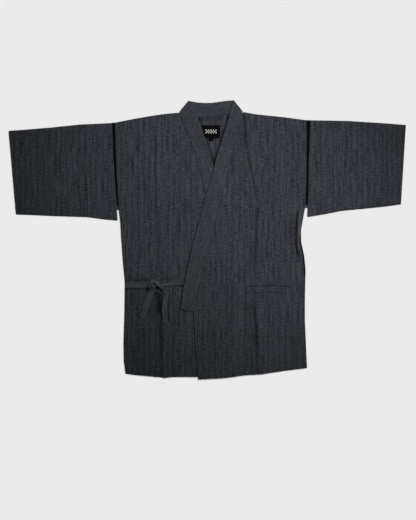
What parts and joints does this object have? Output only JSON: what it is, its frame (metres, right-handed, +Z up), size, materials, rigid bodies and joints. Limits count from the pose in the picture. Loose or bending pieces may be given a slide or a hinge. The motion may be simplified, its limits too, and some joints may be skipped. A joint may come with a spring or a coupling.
{
  "type": "jinbei jacket, laid flat",
  "caption": "Short-sleeved wrap jacket laid flat, left front over right, with a straight collar band, lace strips at the armholes, a pocket and tied tapes.",
  "frame": {"origin": "centre of the footprint on the surface that the jacket lies on", "axes": "+X from the wearer's right sleeve to the left sleeve, +Y from the hem to the collar, +Z up from the surface"},
  "size_m": [1.143, 0.8035, 0.0135],
  "materials": {
    "cotton": "matte",
    "collar_cotton": "matte",
    "lace": "matte",
    "tie_tape": "matte",
    "label": "matte"
  },
  "bodies": {
    "root": {"back": "cotton", "front_right": "cotton", "front_left": "cotton", "collar": "collar_cotton", "sleeve_right": "cotton", "sleeve_left": "cotton", "inset_right": "lace", "inset_left": "lace", "pocket": "cotton", "tie_side": "tie_tape", "tie_side_tail": "tie_tape", "tie_front": "tie_tape", "tie_front_tail": "tie_tape", "tie_knot": "tie_tape", "label": "label", "size_tab": "label"}
  },
  "joints": []
}
